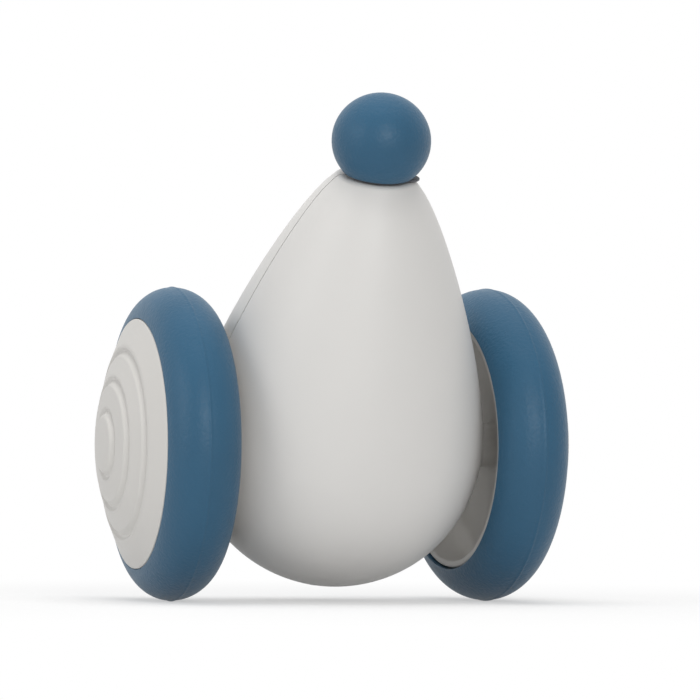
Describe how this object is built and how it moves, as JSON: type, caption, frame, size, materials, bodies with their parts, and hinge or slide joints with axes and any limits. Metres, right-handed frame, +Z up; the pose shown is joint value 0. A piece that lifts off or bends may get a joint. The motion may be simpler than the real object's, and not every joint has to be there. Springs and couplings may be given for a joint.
{
  "type": "robotic mouse cat toy",
  "caption": "Self-rolling mouse cat toy: egg-shaped body with a ball nose that stands nose-up between large soft tyred wheels, with geared drives and a charging socket inside.",
  "frame": {"origin": "middle of the footprint of the overall box, on the floor that the tyres stand on", "axes": "+Z up, X along the axles with -X on the left of the picture, -Y towards the front shell and the camera"},
  "size_m": [0.0908, 0.0684, 0.0971],
  "materials": {
    "shell_white": "satin",
    "hub_white": "satin",
    "soft_blue": "matte",
    "washer_grey": "matte",
    "button_grey": "satin",
    "steel": "brushed",
    "gear_white": "satin",
    "frame_grey": "satin",
    "bronze": "satin",
    "battery_foil": "satin",
    "board_green": "satin",
    "black_plastic": "satin",
    "light_guide": "gloss"
  },
  "bodies": {
    "body": {"front_shell": "shell_white", "rear_shell": "shell_white", "nose_ball": "soft_blue", "nose_collar": "washer_grey", "nose_stem": "frame_grey", "battery": "battery_foil", "circuit_board": "board_green", "touch_switch": "black_plastic", "charge_socket": "steel", "board_screw_left": "steel", "board_screw_right": "steel", "status_light": "light_guide", "tail_socket": "washer_grey", "shell_screw_1": "steel", "shell_screw_2": "steel", "shell_screw_3": "steel", "shell_screw_4": "steel", "left_bush": "bronze", "left_idler_pin": "steel", "left_motor_can": "steel", "left_motor_cap": "black_plastic", "left_gear_plate": "frame_grey", "left_gear_cover": "frame_grey", "right_bush": "bronze", "right_idler_pin": "steel", "right_motor_can": "steel", "right_motor_cap": "black_plastic", "right_gear_plate": "frame_grey", "right_gear_cover": "frame_grey"},
    "left_wheel": {"left_tyre": "soft_blue", "left_hub": "hub_white", "left_hub_cover": "hub_white", "left_axle": "steel", "left_wheel_screw": "steel", "left_output_gear": "gear_white"},
    "left_idler": {"left_idler_gear": "gear_white"},
    "left_pinion": {"left_motor_pinion": "steel"},
    "right_wheel": {"right_tyre": "soft_blue", "right_hub": "hub_white", "right_hub_cover": "hub_white", "right_axle": "steel", "right_wheel_screw": "steel", "right_output_gear": "gear_white"},
    "right_idler": {"right_idler_gear": "gear_white"},
    "right_pinion": {"right_motor_pinion": "steel"},
    "button": {"power_button": "button_grey"}
  },
  "joints": [
    {"name": "left_wheel_spin", "type": "hinge", "parent": "body", "child": "left_wheel", "pos_m": [-0.03164, 0.0044, 0.02989], "axis": [-0.9981, 0.061, 0], "continuous": true},
    {"name": "left_idler_spin", "type": "hinge", "parent": "body", "child": "left_idler", "pos_m": [-0.01581, -0.00045, 0.01916], "axis": [-0.9981, 0.061, 0], "continuous": true},
    {"name": "left_pinion_spin", "type": "hinge", "parent": "body", "child": "left_pinion", "pos_m": [-0.01526, 0.00851, 0.01849], "axis": [-0.9981, 0.061, 0], "continuous": true},
    {"name": "right_wheel_spin", "type": "hinge", "parent": "body", "child": "right_wheel", "pos_m": [0.03164, 0.0044, 0.02989], "axis": [0.9981, 0.061, 0], "continuous": true},
    {"name": "right_idler_spin", "type": "hinge", "parent": "body", "child": "right_idler", "pos_m": [0.01581, -0.00045, 0.01916], "axis": [0.9981, 0.061, 0], "continuous": true},
    {"name": "right_pinion_spin", "type": "hinge", "parent": "body", "child": "right_pinion", "pos_m": [0.01526, 0.00851, 0.01849], "axis": [0.9981, 0.061, 0], "continuous": true},
    {"name": "button_press", "type": "slide", "parent": "body", "child": "button", "axis": [0, -0.9063, -0.4226], "range_m": [0, 0.0006], "stiffness_N_per_m": 600, "springref_m": -0.0008}
  ],
  "couplings": [
    {"joint": "left_idler_spin", "follows": "left_wheel_spin", "ratio": -2.8},
    {"joint": "left_pinion_spin", "follows": "left_wheel_spin", "ratio": 5.6},
    {"joint": "right_idler_spin", "follows": "right_wheel_spin", "ratio": -2.8},
    {"joint": "right_pinion_spin", "follows": "right_wheel_spin", "ratio": 5.6}
  ]
}
